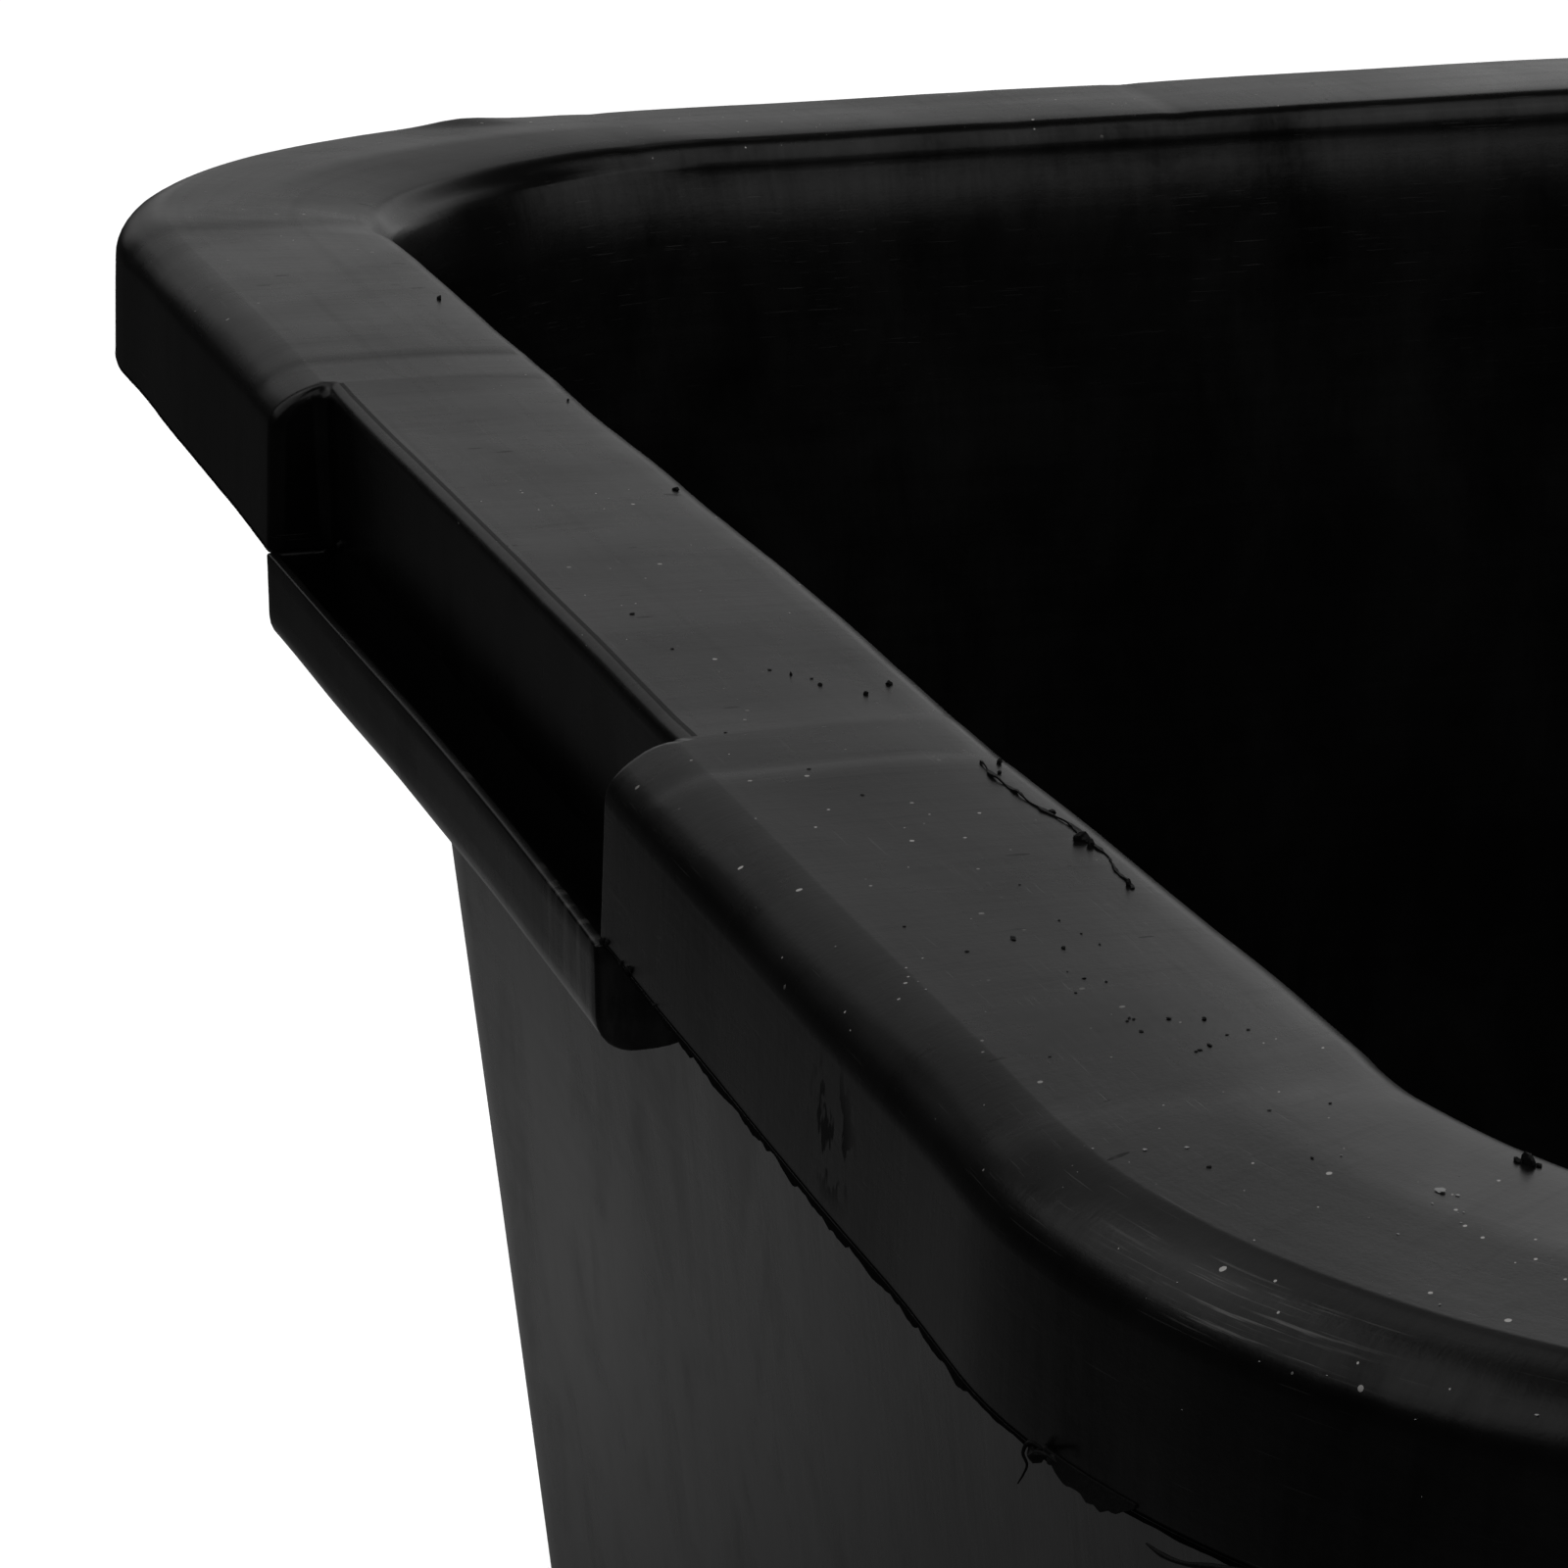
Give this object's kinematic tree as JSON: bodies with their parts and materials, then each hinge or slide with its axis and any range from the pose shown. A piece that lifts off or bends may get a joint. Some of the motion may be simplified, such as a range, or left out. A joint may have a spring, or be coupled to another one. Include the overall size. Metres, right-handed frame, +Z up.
{
  "type": "mortar mixing tub",
  "caption": "Rectangular black plastic tub for mixing and carrying mortar, with drafted walls, a hollow turned-down rim and a moulded carrying grip in each short side.",
  "frame": {"origin": "middle of the base's resting face", "axes": "+Z up out of the basin, +X along the tub's length, +Y across it"},
  "size_m": [0.78, 0.52, 0.32],
  "materials": {
    "black_plastic": "recycled black polyethylene with a satin moulded skin, fine scratches and site dust"
  },
  "bodies": {
    "root": {"floor_panel": "black_plastic", "side_wall_front": "black_plastic", "side_wall_back": "black_plastic", "end_wall_left": "black_plastic", "end_wall_right": "black_plastic", "wall_corner_front_left": "black_plastic", "wall_corner_front_right": "black_plastic", "wall_corner_back_left": "black_plastic", "wall_corner_back_right": "black_plastic", "rim_deck_front": "black_plastic", "rim_deck_back": "black_plastic", "rim_deck_left_front": "black_plastic", "rim_deck_left_back": "black_plastic", "rim_deck_right_front": "black_plastic", "rim_deck_right_back": "black_plastic", "rim_deck_corner_front_left": "black_plastic", "rim_deck_corner_front_right": "black_plastic", "rim_deck_corner_back_left": "black_plastic", "rim_deck_corner_back_right": "black_plastic", "rim_skirt_front": "black_plastic", "rim_skirt_back": "black_plastic", "rim_skirt_left_front": "black_plastic", "rim_skirt_left_back": "black_plastic", "rim_skirt_right_front": "black_plastic", "rim_skirt_right_back": "black_plastic", "rim_skirt_corner_front_left": "black_plastic", "rim_skirt_corner_front_right": "black_plastic", "rim_skirt_corner_back_left": "black_plastic", "rim_skirt_corner_back_right": "black_plastic", "grip_deck_left": "black_plastic", "grip_wall_left": "black_plastic", "grip_trough_left": "black_plastic", "rim_webs_left": "black_plastic", "grip_deck_right": "black_plastic", "grip_wall_right": "black_plastic", "grip_trough_right": "black_plastic", "rim_webs_right": "black_plastic", "rim_webs_front": "black_plastic", "rim_webs_back": "black_plastic"}
  },
  "joints": []
}
